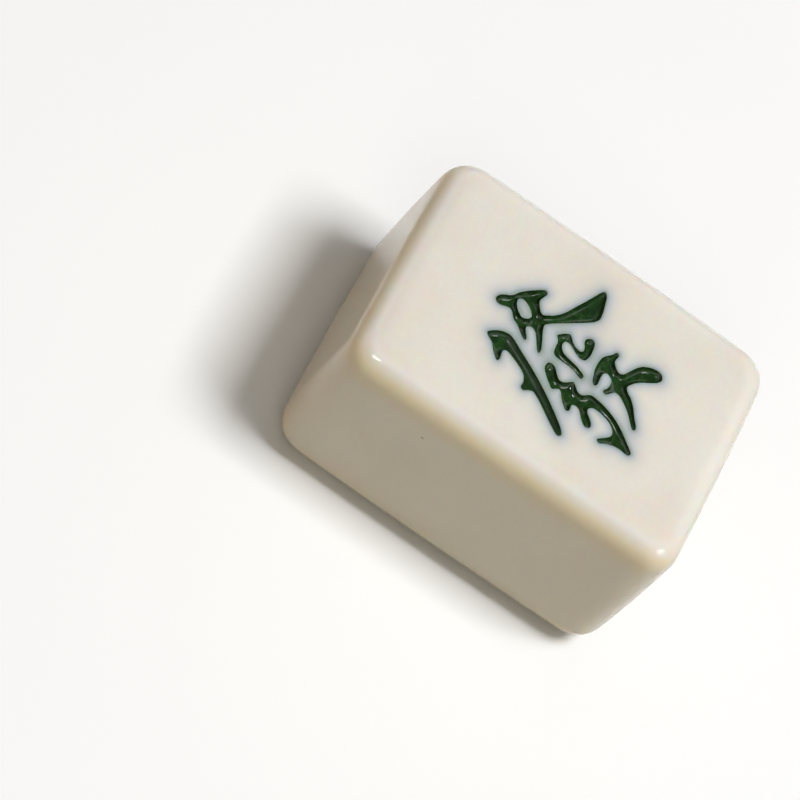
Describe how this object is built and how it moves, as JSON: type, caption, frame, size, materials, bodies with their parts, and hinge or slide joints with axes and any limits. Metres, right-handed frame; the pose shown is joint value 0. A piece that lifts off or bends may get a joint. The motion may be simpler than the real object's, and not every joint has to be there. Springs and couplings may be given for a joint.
{
  "type": "mahjong tile",
  "caption": "Moulded mahjong tile, a rounded block with a blank back and the traditional green-dragon figure engraved in its face and filled with green paint.",
  "frame": {"origin": "middle of the blank back, on the surface that the tile lies on", "axes": "+Z out of the engraved face, +Y towards the top of the figure, +X towards the figure's right"},
  "size_m": [0.03, 0.04, 0.0225],
  "materials": {
    "ivory_block": "polished ivory melamine, slightly translucent",
    "green_paint": "glossy green enamel, hollow between the groove's lips"
  },
  "bodies": {
    "root": {"block": "ivory_block", "paint_roof": "green_paint", "paint_sweep": "green_paint", "paint_bow": "green_paint", "paint_bench": "green_paint", "paint_cross": "green_paint"}
  },
  "joints": []
}
